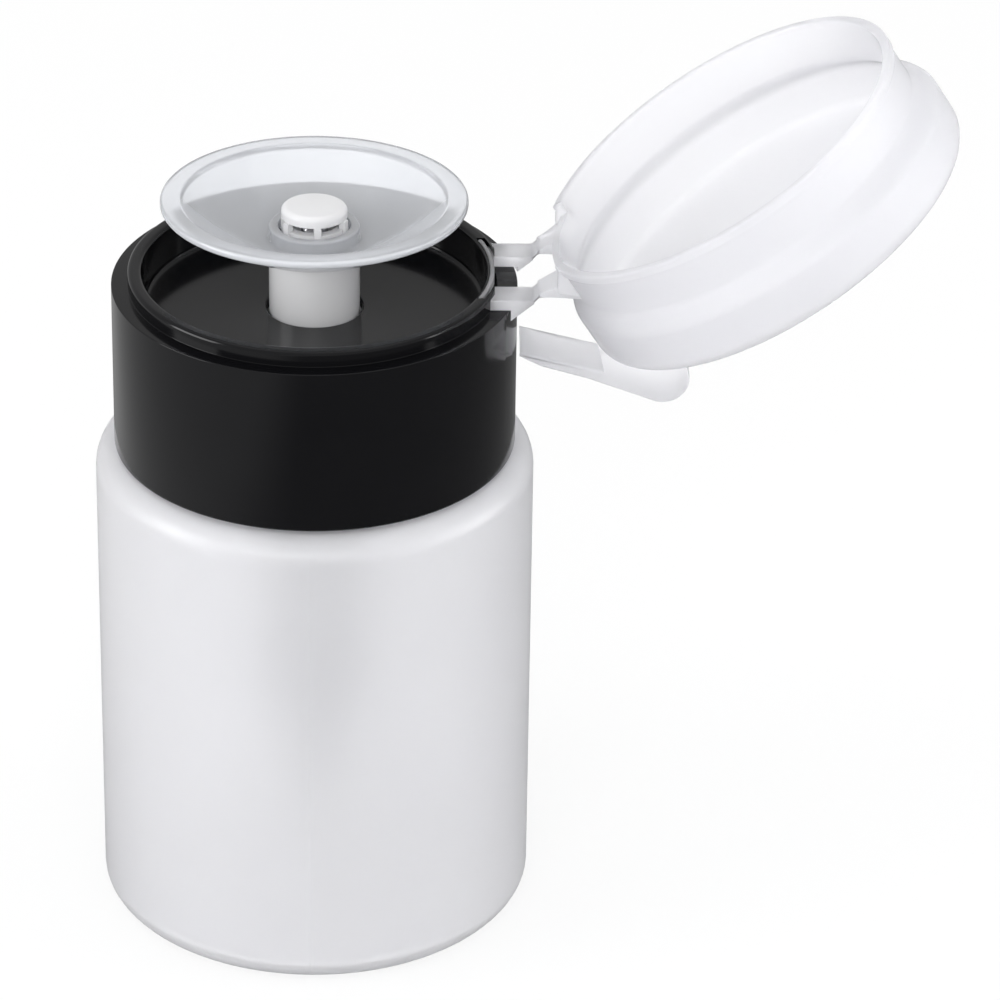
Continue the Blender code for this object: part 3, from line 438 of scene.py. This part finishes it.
def make_lid():
    """A domed shell with a rolled rim, two arms at the hinge, each with a web beside it, and a thumb
    lever. It is shaped closed, and the whole mesh is then turned open about the hinge."""
    rim = rounded(((LID_NECK_R, RIM + 1.25, 0.2), (LID_NECK_R + 0.2, RIM + 0.85, 0.2),
                   (LID_NECK_R + 0.2, RIM, 0.25), (LID_NECK_R - LID_WALL, RIM, 0.25),
                   (LID_NECK_R - LID_WALL, RIM + 2, 0)), closed=False, steps=6)
    profile = np.vstack((lid_line(0)[::-1], rim, lid_line(LID_WALL)))

    def belly_shift(points):
        x, y, z = np.moveaxis(points, -1, 0)
        return np.stack((x - LID_SHIFT * lid_swell(z), y, z), axis=-1)

    shell = lathe("lid_shell", profile, steps=180, closed=False, warp=belly_shift)
    notch = box("lid_notch", (0, -NOTCH_HALF, 66), (30, NOTCH_HALF, BLOCK_TOP + 0.3))
    shell = combine(shell, "DIFFERENCE", notch)

    wall_x = math.sqrt((LID_NECK_R - 0.4) ** 2 - BLOCK_Y ** 2)
    along = np.linspace(wall_x, BLOCK_END, 9)
    lower = np.stack((along, 72.25 + 0 * along), axis=-1)
    upper = np.stack((along, np.interp(along, (wall_x, BLOCK_END), (74.6, 72.7))), axis=-1)
    arm = np.vstack((lower, upper[::-1]))
    web = rounded(((18.1, 74.0, 0), (18.1, 70.6, 0), (18.8, 70.6, 0.4), (20.1, 72.6, 0.4)), steps=5)
    arms = []
    for side, end in ((-1, "near"), (1, "far")):
        plain = bar("lid_arm_" + end, arm, side * BLOCK_Y, BLOCK_WIDTH, 0.12)
        arms.append(flare_arm(plain, side, wall_x))
        arms.append(bar("lid_web_" + end, web, side * 7.45, 1.6, 0.3))

    # The lever's outline on the open lid: from its tip along the underside, round the lug, along the
    # middle of the shell's wall, and back along the top
    tip = (COLLAR_R + 0.3, HINGE.z - 8.4)
    turn = np.radians(np.linspace(-107, 0, 14))
    lug = np.stack((14.6 + 2.7 * np.cos(turn), -2.9 + 2.7 * np.sin(turn)), axis=-1)
    under = np.vstack((((0, -0.5), (2.2, -1.6), (7.1, -3.0)), lug))
    top = np.array(((8.6, -2.1), (0, 0)))
    root = lid_line(LID_WALL / 2) - (LID_SHIFT, 0)
    root = root[(root[:, 0] > 12.1) & (root[:, 1] > RIM + 9.5)][::-1]
    lever_line = np.vstack((opened(under + tip), root, opened(top + tip)))
    free = np.concatenate((np.ones(len(under)), np.zeros(len(root)), np.ones(len(top))))
    lever = bar("thumb_lever", lever_line, 0, 6.2, 0.3, free)
    lid = combine(shell, "UNION", *arms, lever)
    lid.data.transform(Matrix.Translation(HINGE * MM) @ Matrix.Rotation(OPEN, 4, "Y")
                       @ Matrix.Translation(-HINGE * MM))
    return lid


show(make_lid(), natural, "lid", "natural_hinge", "lid")


def make_film(name, y):
    """A strip between a hinge block and a lid arm. Its middle line is half a cosine wave from
    the block's end to the arm's, 0.3 mm thick, 3.1 mm wide."""
    t = np.linspace(0, 1, 17)
    length, climb, half = 0.85, 0.62, 0.15
    x = BLOCK_END - 0.2 + length * t
    z = BLOCK_TOP - half + climb * (1 - np.cos(np.pi * t)) / 2
    outline = np.vstack((np.stack((x, z + half), axis=-1), np.stack((x, z - half), axis=-1)[::-1]))
    film = bar(name, outline, y, BLOCK_WIDTH - 0.1, 0.08)
    film.data.materials.append(natural)
    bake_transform(film)
    return film


make_film("hinge_film_near", -BLOCK_Y)
make_film("hinge_film_far", BLOCK_Y)


# Saucer, cap and stem

def make_saucer():
    """A bowl on a hub tube. The bowl climbs from floor to rim with the 1.8th power of the share."""
    share = np.linspace(0, 1, 28)[1:]
    bowl = np.stack((HUB_R + (SAUCER_INNER - HUB_R) * share,
                     BOWL_FLOOR + (SAUCER_TOP - BOWL_FLOOR) * share ** 1.8), axis=-1)
    upper = rounded(((HUB_BORE, HUB_TOP - 1, 0), (HUB_BORE, HUB_TOP, 0.15), (HUB_R, HUB_TOP, 0.25),
                     (HUB_R, BOWL_FLOOR, 0.4), (bowl[1, 0], bowl[1, 1], 0)), closed=False)
    rim = rounded(((bowl[-2, 0], bowl[-2, 1], 0), (SAUCER_INNER, SAUCER_TOP, 0.4),
                   (SAUCER_R, SAUCER_TOP, 0.3), (SAUCER_R, SAUCER_TOP - SAUCER_WALL, 0.35),
                   (SAUCER_INNER, SAUCER_TOP - SAUCER_WALL, 0)), closed=False)
    under = bowl[1:-2][::-1] - (0, SAUCER_WALL)
    tube = np.array(((HUB_R, BOWL_FLOOR - SAUCER_WALL), (HUB_R, HUB_BOTTOM), (HUB_BORE, HUB_BOTTOM)))
    return lathe("saucer_bowl", np.vstack((upper, bowl[2:-2], rim, under, tube)), warp=lean)


saucer = show(make_saucer(), clear, "plunger", "clear_saucer", "saucer")
# Painted light: the clear hub's tube below the bowl gets the milky styrene, so it shows pale as if the
# white stem inside were lit
saucer.data.materials.append(pale_cap_and_hub_light)
for face in saucer.data.polygons:  # the hub's tube below the bowl looks milky
    middle = face.center / MM
    face.material_index = int(middle.z < 73.6 and math.hypot(middle.x, middle.y) < 5.5)


def make_cap():
    """A round cap with a rolled top edge. Six slots just above the hub's rim cut through its wall,
    and on each of the bars between them a rib stands 0.2 mm proud down to the hub."""
    profile = rounded(((0, CAP_TOP, 0), (CAP_R, CAP_TOP, 0.6), (CAP_R, 75.65, 0.1), (2.45, 75.65, 0.1),
                       (2.45, CAP_UNDERSIDE, 0.1), (0, CAP_UNDERSIDE, 0)), closed=False, steps=8)
    cap = lathe("nozzle_cap_shell", profile, steps=120, closed=False)
    slots, ribs = [], []
    for i in range(6):
        slot = box("cap_slot_%d" % (i + 1), (2.0, -1.4, SLOT_LOW), (4.2, 1.4, SLOT_HIGH))
        slot.data.transform(Matrix.Rotation(math.radians(RIB_TURN + 60 * i + 30), 4, "Z"))
        slots.append(slot)
        rib = box("cap_rib_%d" % (i + 1), (2.9, -0.37, 75.75), (3.55, 0.37, SLOT_HIGH - 0.05))
        rib.data.transform(Matrix.Rotation(math.radians(RIB_TURN + 60 * i), 4, "Z"))
        ribs.append(rib)
    cap = combine(combine(cap, "DIFFERENCE", *slots), "UNION", *ribs)
    place = np.array([v.co[:] for v in cap.data.vertices]) / MM
    cap.data.vertices.foreach_set("co", (lean(place) * MM).ravel())
    return cap


show(make_cap(), pale_cap_and_hub_light, "plunger", "clear_saucer", "nozzle_cap")

# Turned pieces of the pump: each is one closed profile of (radius, height, edge radius)
TURNED = (
    ("stem_tube", white, "plunger", "white_pump", "stem", (
        (2.1, 75.35, 0.1), (3.1, 75.35, 0.15), (3.1, 52.3, 0.1), (2.6, 52.3, 0.1), (2.6, 46.2, 0.1),
        (3.6, 46.2, 0.15), (3.6, 44.7, 0.15), (1.6, 44.7, 0.1), (1.6, 71.2, 0.1), (0.9, 71.9, 0.1),
        (0.9, 73.7, 0.1), (2.1, 74.9, 0.1))),
    ("piston", white, "plunger", "white_pump", "piston_seal", (
        (2.9, 52.0, 0.1), (4.3, 52.0, 0.1), (4.3, 50.63, 0.2), (3.6, 50.08, 0.2), (3.6, 48.42, 0.2),
        (4.3, 47.87, 0.2), (4.3, 46.5, 0.1), (2.9, 46.5, 0.1))),
    ("pump_housing", grey, "pump", "white_pump", "pump_cylinder", (
        (8.05, 66.0, 0.1), (14.2, 66.0, 0.15), (14.2, 65.0, 0.15), (9.35, 65.0, 0.2), (9.35, 63.7, 0.3),
        (7.65, 63.7, 0.2), (7.65, 51.0, 0.5), (5.5, 51.0, 0.3), (5.5, 22.76, 0.6), (3.2, 20.46, 0.4),
        (3.2, 14.46, 0.15), (2.3, 14.46, 0.1), (2.3, 20.46, 0), (1.4, 20.46, 0), (1.4, 21.46, 0.1),
        (3.0, 23.06, 0.2), (3.0, 26.6, 0.1), (4.6, 26.6, 0.1), (4.6, 52.0, 0.1), (6.65, 52.0, 0.1),
        (6.65, 65.0, 0.1), (8.05, 65.0, 0.1))),
    ("guide_bush", white, "pump", "white_pump", "stem_guide", (
        (4.9, 66.0, 0.15), (7.75, 66.0, 0.15), (7.75, 65.3, 0.15), (6.35, 65.3, 0.1), (6.35, 52.3, 0.2),
        (3.4, 52.3, 0.1), (3.4, 53.5, 0.1), (4.9, 53.5, 0.1))),
    ("ball_cage", white, "pump", "white_pump", "valve_cage", (
        (2.4, 30.5, 0.05), (2.9, 30.5, 0.1), (2.9, 28.1, 0.1), (4.3, 28.1, 0.1), (4.3, 26.9, 0.1),
        (1.3, 26.9, 0.1), (1.3, 28.1, 0.1), (2.4, 28.1, 0.1))),
    ("suction_tube", tube, "pump", "natural_tube", "dip_tube", (
        (1.3, 20.16, 0.1), (2.0, 20.16, 0.1), (2.0, 3.0, 0.1), (1.3, 3.0, 0.1))),
    ("neck_liner", foam, "pump", "foam_liner", "neck_gasket", (
        (13.5, 64.7, 0.15), (14.9, 64.7, 0.15), (14.9, 63.7, 0.15), (13.5, 63.7, 0.15))),
)
for name, material, body, slot, node, corners in TURNED:
    show(lathe(name, rounded(corners, steps=5), steps=96, warp=lean if name == "stem_tube" else None),
         material, body, slot, node)


# Spring and valve balls

def spring_rise(t):
    """Height of the wire's middle: the first and last turns climb 1.9 mm each, and those between
    share what is left evenly."""
    return np.interp(t * SPRING_TURNS, (0, 1, SPRING_TURNS - 1, SPRING_TURNS),
                     (SPRING_FOOT, SPRING_FOOT + 1.9, SPRING_HEAD - 1.9, SPRING_HEAD))


def make_spring():
    """A wire 0.8 mm thick, wound on a middle radius of 3.6 mm."""
    turn = np.linspace(0, TURN, 12, endpoint=False)
    wire = 0.4 * np.stack((np.cos(turn), np.sin(turn)), axis=-1)
    return coil("return_spring", 3.6, SPRING_TURNS, spring_rise, wire, per_turn=36)


spring = show(make_spring(), steel, "pump", "steel", "pump_spring")
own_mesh(spring)


def make_ball(name, radius, height):
    """A half circle from pole to pole, turned about Z."""
    turn = np.linspace(-np.pi / 2, np.pi / 2, 25)
    return lathe(name, np.stack((radius * np.cos(turn), height + radius * np.sin(turn)), axis=-1),
                 steps=48, closed=False, warp=lean)


show(make_ball("inlet_valve_ball", 2.2, 23.6), steel, "inlet_ball", "steel", "inlet_ball")
show(make_ball("outlet_valve_ball", 1.5, 75.35), steel, "outlet_ball", "steel", "outlet_ball")


# Floor, light and camera

def glow(tree, kind, strength):
    """White light of a strength, from a node of a kind."""
    return add(tree, kind, {"Color": (1, 1, 1, 1), "Strength": strength}).outputs[0]


def level(tree, value, low, high, start=0.0, end=1.0, **settings):
    """A strength that goes from low to high as a value goes from start to end."""
    return add(tree, "ShaderNodeMapRange", {"Value": value, "From Min": start, "From Max": end,
                                            "To Min": low, "To Max": high}, **settings).outputs["Result"]


def looked_at(tree, seen):
    """1 for what the camera sees, straight or through clear plastic, and 0 for all other rays."""
    return add(tree, "ShaderNodeMath", {0: seen.outputs["Is Camera Ray"],
                                        1: seen.outputs["Is Transmission Ray"]},
               operation="MAXIMUM").outputs[0]


def make_floor():
    """A wide flat square. The camera sees it nearly white, and it keeps a faint shadow. Clear plastic
    shows it brighter. Polished plastic reflects it dark, and lighter on the left."""
    reach = np.linspace(-1500, 1500, 3)
    x, y = np.meshgrid(reach, reach)
    floor = surface("floor", np.stack((x, y, 0 * x - 0.02), axis=-1))
    floor.data.materials.append(bpy.data.materials.new("pale floor"))
    material = floor.data.materials[0]
    material.use_nodes = True
    tree = material.node_tree
    tree.nodes.clear()
    seen = add(tree, "ShaderNodeLightPath")
    flat = add(tree, "ShaderNodeBsdfDiffuse", {"Color": linear("E0E0E0")})
    place = add(tree, "ShaderNodeTexCoord").outputs["Object"]
    across = add(tree, "ShaderNodeSeparateXYZ", {0: place}).outputs["X"]
    slope = level(tree, across, *FLOOR_IN_GLOSS, start=-0.09, end=-0.01, interpolation_type="SMOOTHSTEP")
    mirrored = glow(tree, "ShaderNodeEmission", slope)
    lit = add(tree, "ShaderNodeMixShader", {0: seen.outputs["Is Glossy Ray"], 1: flat.outputs[0],
                                            2: mirrored})
    power = level(tree, seen.outputs["Is Transmission Ray"], FLOOR_SEEN, FLOOR_THROUGH)
    bright = glow(tree, "ShaderNodeEmission", power)
    share = add(tree, "ShaderNodeMath", {0: looked_at(tree, seen), 1: FLOOR_SHARE}, operation="MULTIPLY")
    mixed = add(tree, "ShaderNodeMixShader", {0: share.outputs[0], 1: lit.outputs[0], 2: bright})
    add(tree, "ShaderNodeOutputMaterial", {"Surface": mixed.outputs[0]})


make_floor()


def make_world():
    """An even white room. The camera and clear plastic see it whole, and gloss reflects half of it."""
    world = bpy.data.worlds.new("white room")
    bpy.context.scene.world = world
    world.use_nodes = True
    tree = world.node_tree
    tree.nodes.clear()
    seen = add(tree, "ShaderNodeLightPath")
    power = level(tree, seen.outputs["Is Glossy Ray"], ROOM, ROOM_IN_GLOSS)
    lit = glow(tree, "ShaderNodeBackground", power)
    shown = glow(tree, "ShaderNodeBackground", ROOM_SEEN)
    mixed = add(tree, "ShaderNodeMixShader", {0: looked_at(tree, seen), 1: lit, 2: shown})
    add(tree, "ShaderNodeOutputWorld", {"Surface": mixed.outputs[0]})


make_world()


def softbox(name, place, aim, width, height, watts, mirrored=True):
    """A rectangular lamp at a place in metres, turned to face another. Gloss shows it if mirrored."""
    lamp = bpy.data.lights.new(name, "AREA")
    lamp.shape, lamp.size, lamp.size_y, lamp.energy = "RECTANGLE", width, height, watts
    made = bpy.data.objects.new(name, lamp)
    bpy.context.scene.collection.objects.link(made)
    made.location = place
    made.visible_glossy = mirrored
    made.rotation_euler = (Vector(aim) - Vector(place)).to_track_quat("-Z", "Y").to_euler()


MIDDLE = (0, 0, 0.05)
softbox("left box", (-0.50, -0.15, 0.18), MIDDLE, 0.3, 0.3, 1.35)
softbox("right box", (0.50, -0.03, 0.12), MIDDLE, 0.3, 0.25, 0.95)
softbox("front box", (-0.05, -0.75, 0.42), MIDDLE, 0.6, 0.35, 3.3, mirrored=False)
softbox("top box", (0.0, 0.0, 0.80), MIDDLE, 0.9, 0.7, 0.7)


def make_camera():
    """The photograph's camera: half a metre off, 29 degrees down, with a 200 mm lens."""
    lens = bpy.data.cameras.new("camera")
    lens.lens, lens.sensor_width = 199.8, 36
    made = bpy.data.objects.new("camera", lens)
    bpy.context.scene.collection.objects.link(made)
    yaw, pitch, roll, swing = 0.0302, 0.5086, -0.0156, math.radians(0.93)
    ahead = Vector((math.sin(yaw) * math.cos(pitch), math.cos(yaw) * math.cos(pitch), -math.sin(pitch)))
    across = Vector((math.cos(yaw), -math.sin(yaw), 0))
    down = ahead.cross(across)
    right = math.cos(roll) * across + math.sin(roll) * down
    below = -math.sin(roll) * across + math.cos(roll) * down
    turn = Matrix((right, -below, -ahead)).transposed().to_4x4()
    turn.translation = (0.003974, -0.50139, 0.324395)
    made.matrix_world = Matrix.Rotation(swing, 4, "Z") @ turn
    bpy.context.scene.camera = made


make_camera()
bpy.context.scene.view_settings.view_transform = "Standard"
